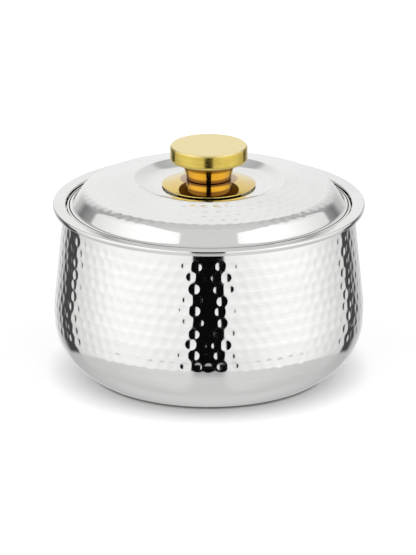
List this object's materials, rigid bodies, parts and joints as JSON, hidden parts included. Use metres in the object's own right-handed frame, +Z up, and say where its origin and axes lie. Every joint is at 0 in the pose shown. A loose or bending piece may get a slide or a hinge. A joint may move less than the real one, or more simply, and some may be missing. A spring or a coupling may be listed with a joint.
{
  "type": "insulated chapati casserole",
  "caption": "Round double-walled steel serving pot with foam insulation and a lift-off domed lid with a gold-coloured mushroom knob.",
  "frame": {"origin": "centre of the pot's base, on the plane that it stands on", "axes": "+Z up along the pot's axis of rotation; the picture looks along +Y, with +X to its right"},
  "size_m": [0.2298, 0.2298, 0.1725],
  "materials": {
    "hammered_steel": "hammered and polished stainless steel",
    "polished_steel": "polished stainless steel",
    "base_steel": "satin stainless steel",
    "fastener_steel": "plain bright fasteners",
    "polished_gold": "mirror-polished gold-coloured plating",
    "brushed_gold": "turned and brushed gold-coloured plating",
    "turned_brass": "turned, unplated",
    "rigid_foam": "rigid polyurethane foam",
    "silicone": "grey silicone",
    "black_nylon": "moulded nylon"
  },
  "bodies": {
    "pot": {"outer_shell": "hammered_steel", "inner_bowl": "polished_steel", "body_insulation": "rigid_foam", "base_plate": "base_steel", "fill_plug": "black_nylon"},
    "lid": {"lid_cover": "hammered_steel", "lid_liner": "polished_steel", "lid_insulation": "rigid_foam", "spacer_sleeve": "fastener_steel", "backing_washer": "fastener_steel", "knob_screw": "fastener_steel", "lock_washer": "fastener_steel", "plain_washer": "fastener_steel", "sealing_washer": "silicone", "knob_gasket": "silicone", "base_spacer": "black_nylon", "knob_base_disc": "polished_gold", "knob_neck": "polished_gold", "knob_head": "brushed_gold", "knob_insert": "turned_brass"}
  },
  "joints": [
    {"name": "lid_lift", "type": "slide", "parent": "pot", "child": "lid", "axis": [0, 0, 1], "range_m": [0, 0.15]}
  ]
}
